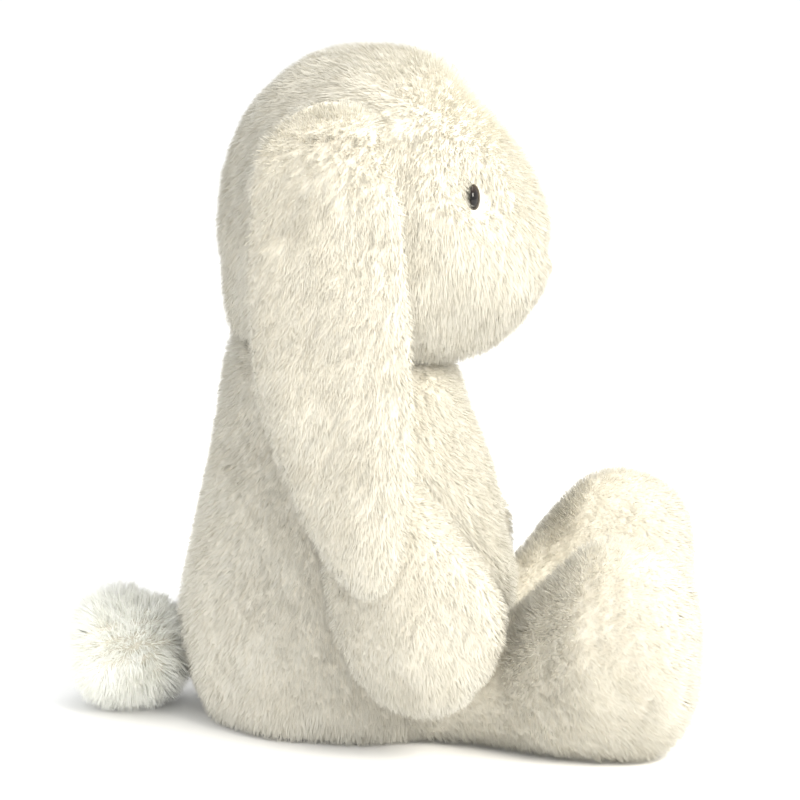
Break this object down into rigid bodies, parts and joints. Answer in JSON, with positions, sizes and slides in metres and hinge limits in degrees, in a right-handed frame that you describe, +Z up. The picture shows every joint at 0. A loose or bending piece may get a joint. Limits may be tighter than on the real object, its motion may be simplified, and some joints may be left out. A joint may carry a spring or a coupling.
{
  "type": "stuffed toy rabbit",
  "caption": "Seated lop-eared plush rabbit of sewn pile panels over stuffing, with hinged head, ears, arms, legs and tail.",
  "frame": {"origin": "middle of the base, on the surface that the rabbit sits on", "axes": "+Z up, the rabbit looks along -Y, and +X is its own left side"},
  "size_m": [0.221, 0.2643, 0.2955],
  "materials": {
    "pile_fabric": "short dense cream pile",
    "stuffing": "loose white fibre",
    "pellet_bag": "plain woven bag of pellets",
    "eye_plastic": "glossy dark brown dome",
    "washer_plastic": "natural moulded",
    "nose_thread": "satin embroidery thread",
    "mouth_thread": "satin embroidery thread"
  },
  "bodies": {
    "torso": {"body_back_left": "pile_fabric", "body_back_right": "pile_fabric", "body_front_left": "pile_fabric", "body_front_right": "pile_fabric", "body_seat": "pile_fabric", "body_stuffing": "stuffing", "seat_pellet_pouch": "pellet_bag"},
    "head": {"head_chin": "pile_fabric", "head_gusset": "pile_fabric", "head_side_left": "pile_fabric", "head_side_right": "pile_fabric", "head_stuffing": "stuffing", "right_eye": "eye_plastic", "left_eye": "eye_plastic", "right_eye_washer": "washer_plastic", "left_eye_washer": "washer_plastic", "nose": "nose_thread", "mouth_stitch": "mouth_thread"},
    "right_ear": {"right_ear_outer": "pile_fabric", "right_ear_inner": "pile_fabric", "right_ear_filling": "stuffing"},
    "left_ear": {"left_ear_outer": "pile_fabric", "left_ear_inner": "pile_fabric", "left_ear_filling": "stuffing"},
    "right_arm": {"right_arm_outer": "pile_fabric", "right_arm_inner": "pile_fabric", "right_arm_stuffing": "stuffing"},
    "left_arm": {"left_arm_outer": "pile_fabric", "left_arm_inner": "pile_fabric", "left_arm_stuffing": "stuffing"},
    "right_leg": {"right_leg_outer": "pile_fabric", "right_leg_inner": "pile_fabric", "right_leg_sole": "pile_fabric", "right_leg_stuffing": "stuffing", "right_leg_pellet_pouch": "pellet_bag"},
    "left_leg": {"left_leg_outer": "pile_fabric", "left_leg_inner": "pile_fabric", "left_leg_sole": "pile_fabric", "left_leg_stuffing": "stuffing", "left_leg_pellet_pouch": "pellet_bag"},
    "tail": {"tail_cover": "pile_fabric", "tail_stuffing": "stuffing"}
  },
  "joints": [
    {"name": "neck_nod", "type": "hinge", "parent": "torso", "child": "head", "pos_m": [0, 0.016, 0.148], "axis": [1, 0, 0], "range_deg": [-8, 10], "stiffness_Nm_per_rad": 8},
    {"name": "right_ear_lift", "type": "hinge", "parent": "head", "child": "right_ear", "pos_m": [-0.061, 0.016, 0.277], "axis": [0, 1, 0], "range_deg": [0, 150]},
    {"name": "left_ear_lift", "type": "hinge", "parent": "head", "child": "left_ear", "pos_m": [0.061, 0.016, 0.277], "axis": [0, -1, 0], "range_deg": [0, 150]},
    {"name": "right_arm_swing", "type": "hinge", "parent": "torso", "child": "right_arm", "pos_m": [-0.067, 0.015, 0.145], "axis": [1, 0, 0], "range_deg": [0, 75], "stiffness_Nm_per_rad": 0.1},
    {"name": "left_arm_swing", "type": "hinge", "parent": "torso", "child": "left_arm", "pos_m": [0.067, 0.015, 0.145], "axis": [1, 0, 0], "range_deg": [0, 75], "stiffness_Nm_per_rad": 0.1},
    {"name": "right_leg_swing", "type": "hinge", "parent": "torso", "child": "right_leg", "pos_m": [-0.036, -0.016, 0.026], "axis": [1, 0, 0], "range_deg": [-12, 55], "stiffness_Nm_per_rad": 0.3},
    {"name": "left_leg_swing", "type": "hinge", "parent": "torso", "child": "left_leg", "pos_m": [0.036, -0.016, 0.026], "axis": [1, 0, 0], "range_deg": [-12, 55], "stiffness_Nm_per_rad": 0.3},
    {"name": "tail_wag", "type": "hinge", "parent": "torso", "child": "tail", "pos_m": [0, 0.088, 0.027], "axis": [0, 0, 1], "range_deg": [-20, 20], "stiffness_Nm_per_rad": 0.05}
  ]
}
